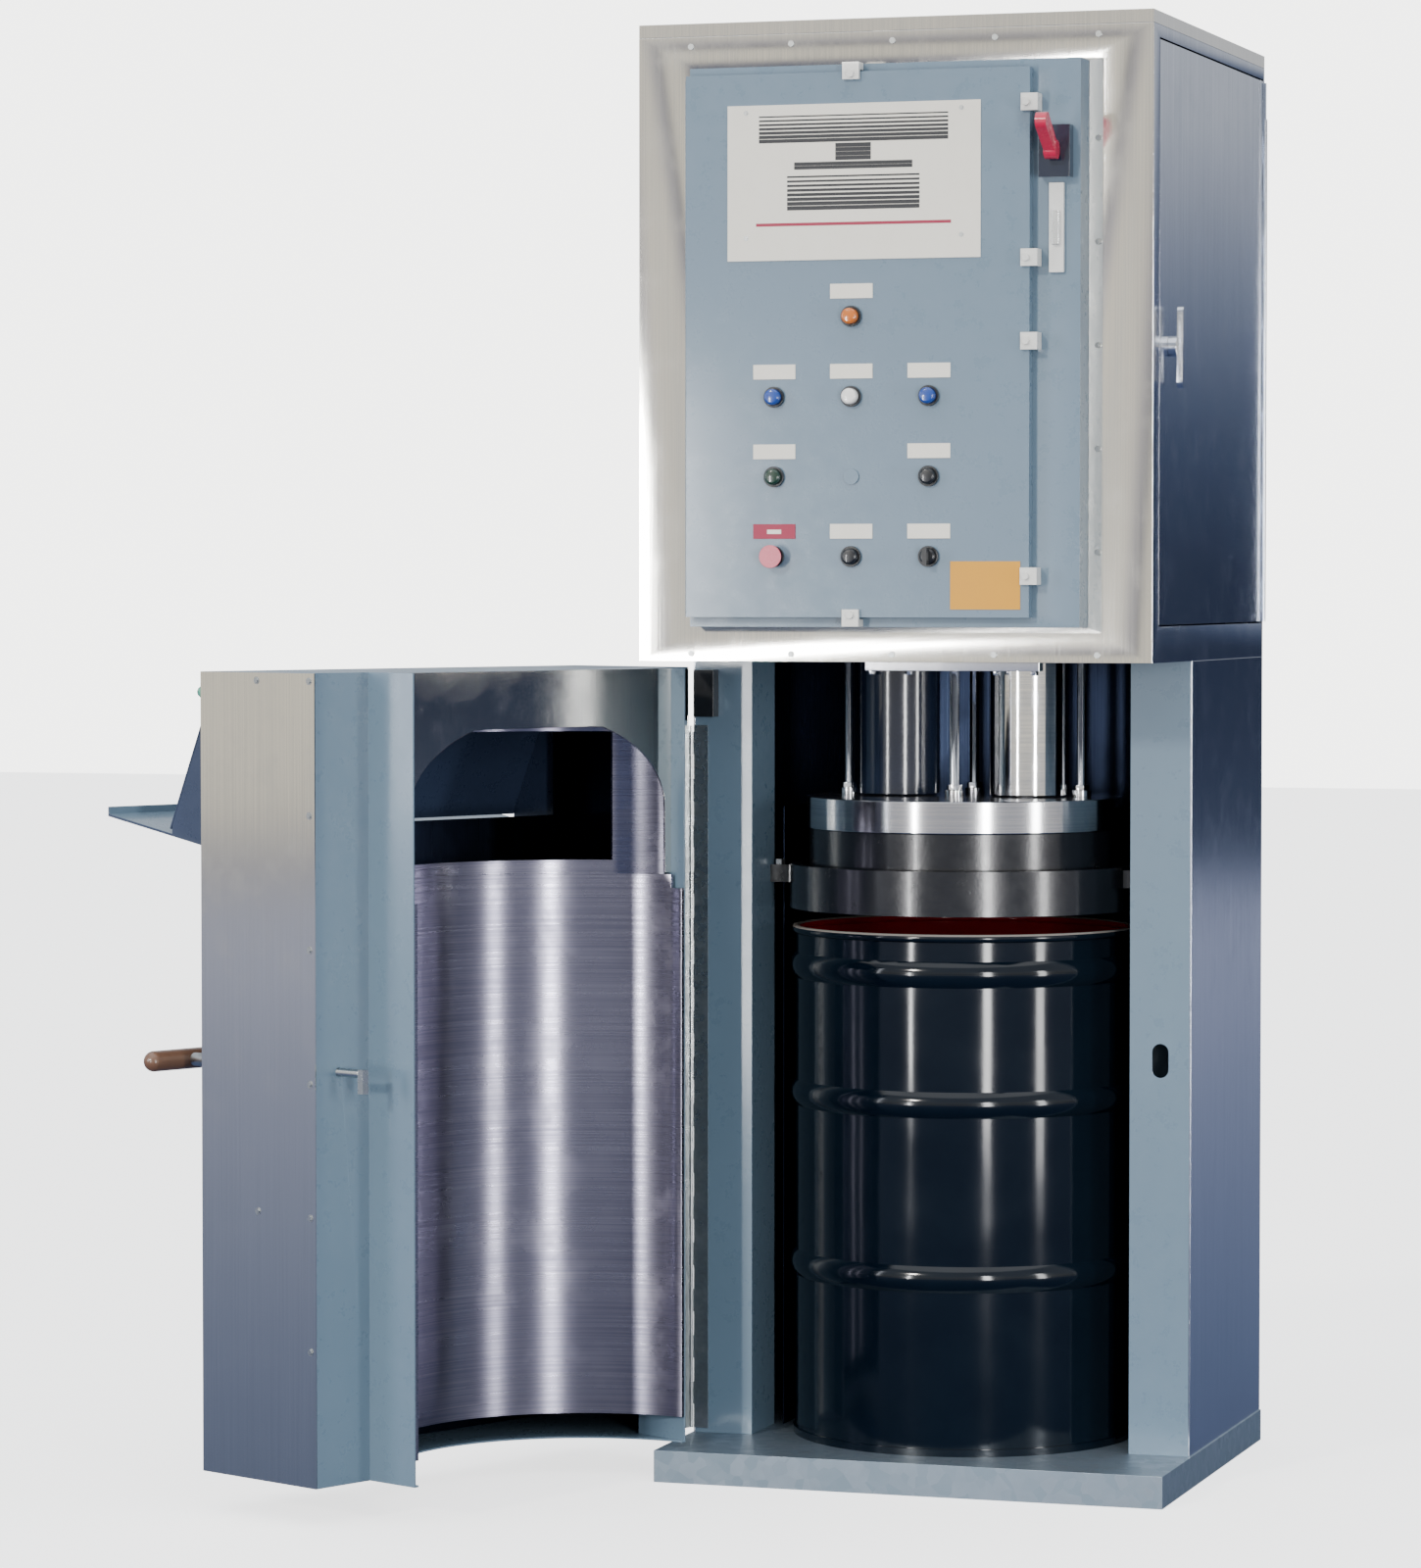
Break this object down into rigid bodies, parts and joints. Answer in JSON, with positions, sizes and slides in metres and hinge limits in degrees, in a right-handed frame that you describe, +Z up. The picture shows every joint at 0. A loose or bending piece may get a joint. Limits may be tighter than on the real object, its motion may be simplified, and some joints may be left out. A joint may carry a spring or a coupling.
{
  "type": "drum press",
  "caption": "Cabinet press that compacts waste inside a standing steel drum, with a loading door, hydraulic ram and control enclosure.",
  "frame": {"origin": "on the floor, at the middle of the head cabinet's footprint, on the base's underside", "axes": "+Z up, -Y to the front, +X to the main door's latch side"},
  "size_m": [1.7544, 1.3749, 2.44],
  "materials": {
    "paint_blue_grey": "satin",
    "stainless": "brushed",
    "polished_stainless": "polished",
    "bright_steel": "machined",
    "black_paint": "satin",
    "drum_enamel": "gloss",
    "galvanised": "galvanised",
    "chrome": "polished",
    "bronze": "machined",
    "dark_grey_paint": "satin",
    "motor_blue": "gloss",
    "orange_paint": "satin",
    "black_plastic": "matte",
    "white_plastic": "gloss",
    "amber_lens": "gloss",
    "blue_plastic": "gloss",
    "green_plastic": "gloss",
    "red_plastic": "gloss",
    "lamp_green": "gloss",
    "brown_grip": "satin"
  },
  "bodies": {
    "frame": {"base": "galvanised", "left_post": "paint_blue_grey", "right_post": "paint_blue_grey", "lower_side_panels": "stainless", "rear_panel": "stainless", "chamber_liner": "stainless", "guide_collar": "black_paint", "press_deck": "dark_grey_paint", "head_frame": "dark_grey_paint", "head_front_panel": "polished_stainless", "head_left_panel": "stainless", "head_right_panel": "stainless", "head_cap": "polished_stainless", "control_box": "paint_blue_grey", "cylinder_barrels": "bright_steel", "guide_bushes": "bronze", "cylinder_bracket": "stainless", "reservoir": "dark_grey_paint", "motor": "motor_blue", "pump": "dark_grey_paint", "valve_manifold": "dark_grey_paint", "hydraulic_pipes": "bright_steel", "component_panel": "orange_paint", "isolator_base": "bright_steel", "post_hinge_leaf": "bright_steel", "interlock_switch": "black_plastic", "supply_gland": "black_plastic", "panel_screws": "bright_steel"},
    "main_door": {"door_skin": "polished_stainless", "door_frame": "paint_blue_grey", "door_liner": "stainless", "arch_panel": "polished_stainless", "window_liner": "stainless", "door_hinge_leaf": "bright_steel", "loading_tray": "paint_blue_grey", "door_lamp": "lamp_green"},
    "door_handle": {"handle_grip": "brown_grip", "latch_spindle": "bright_steel"},
    "ram": {"ring_plate": "polished_stainless", "platen": "black_paint", "piston_rods": "bright_steel", "guide_rods": "bright_steel"},
    "control_door": {"control_door": "paint_blue_grey", "legend_plates": "white_plastic", "door_clamps": "white_plastic", "button_bezels": "black_plastic", "pilot_light": "amber_lens"},
    "loading_lid": {"loading_lid": "dark_grey_paint"},
    "drum": {"drum": "drum_enamel"},
    "blue_button_left": {"blue_button_left": "blue_plastic"},
    "white_button": {"white_button": "white_plastic"},
    "blue_button_right": {"blue_button_right": "blue_plastic"},
    "green_button": {"green_button": "green_plastic"},
    "black_button_high": {"black_button_high": "black_plastic"},
    "stop_button": {"stop_button": "red_plastic"},
    "black_button_low": {"black_button_low": "black_plastic"},
    "selector": {"selector": "black_plastic"},
    "isolator_handle": {"isolator_handle": "red_plastic"},
    "side_door": {"side_door": "stainless"},
    "side_door_handle": {"side_door_handle": "chrome"}
  },
  "joints": [
    {"name": "main_door_hinge", "type": "hinge", "parent": "frame", "child": "main_door", "pos_m": [-0.441, -0.132, 0.7175], "axis": [0, 0, -1], "range_deg": [-115, 10]},
    {"name": "loading_lid_hinge", "type": "hinge", "parent": "main_door", "child": "loading_lid", "pos_m": [-0.8796, -0.41407, 1.363], "axis": [0.4226, 0.9063, 0], "range_deg": [0, 100]},
    {"name": "door_handle_turn", "type": "hinge", "parent": "main_door", "child": "door_handle", "pos_m": [-1.0382, -0.76436, 0.731], "axis": [-0.9063, 0.4226, 0], "range_deg": [-90, 0]},
    {"name": "ram_slide", "type": "slide", "parent": "frame", "child": "ram", "axis": [0, 0, 1], "range_m": [-0.6, 0]},
    {"name": "drum_roll_out", "type": "slide", "parent": "frame", "child": "drum", "axis": [0, -1, 0], "range_m": [0, 0.75]},
    {"name": "control_door_hinge", "type": "hinge", "parent": "frame", "child": "control_door", "pos_m": [-0.334, -0.476, 1.9035], "axis": [0, 0, -1], "range_deg": [0, 120]},
    {"name": "blue_button_left_press", "type": "slide", "parent": "control_door", "child": "blue_button_left", "axis": [0, 1, 0], "range_m": [0, 0.004], "stiffness_N_per_m": 500},
    {"name": "white_button_press", "type": "slide", "parent": "control_door", "child": "white_button", "axis": [0, 1, 0], "range_m": [0, 0.004], "stiffness_N_per_m": 500},
    {"name": "blue_button_right_press", "type": "slide", "parent": "control_door", "child": "blue_button_right", "axis": [0, 1, 0], "range_m": [0, 0.004], "stiffness_N_per_m": 500},
    {"name": "green_button_press", "type": "slide", "parent": "control_door", "child": "green_button", "axis": [0, 1, 0], "range_m": [0, 0.004], "stiffness_N_per_m": 500},
    {"name": "black_button_high_press", "type": "slide", "parent": "control_door", "child": "black_button_high", "axis": [0, 1, 0], "range_m": [0, 0.004], "stiffness_N_per_m": 500},
    {"name": "stop_button_press", "type": "slide", "parent": "control_door", "child": "stop_button", "axis": [0, 1, 0], "range_m": [0, 0.004], "stiffness_N_per_m": 500},
    {"name": "black_button_low_press", "type": "slide", "parent": "control_door", "child": "black_button_low", "axis": [0, 1, 0], "range_m": [0, 0.004], "stiffness_N_per_m": 500},
    {"name": "selector_turn", "type": "hinge", "parent": "control_door", "child": "selector", "pos_m": [0.084, -0.496, 1.56], "axis": [0, -1, 0], "range_deg": [-45, 45]},
    {"name": "isolator_throw", "type": "hinge", "parent": "frame", "child": "isolator_handle", "pos_m": [0.292, -0.515, 2.21], "axis": [1, 0, 0], "range_deg": [0, 70]},
    {"name": "side_door_hinge", "type": "hinge", "parent": "frame", "child": "side_door", "pos_m": [0.441, 0.4095, 1.922], "axis": [0, 0, 1], "range_deg": [0, 110]},
    {"name": "side_door_handle_turn", "type": "hinge", "parent": "side_door", "child": "side_door_handle", "pos_m": [0.437, -0.303, 1.902], "axis": [1, 0, 0], "range_deg": [0, 90]}
  ]
}
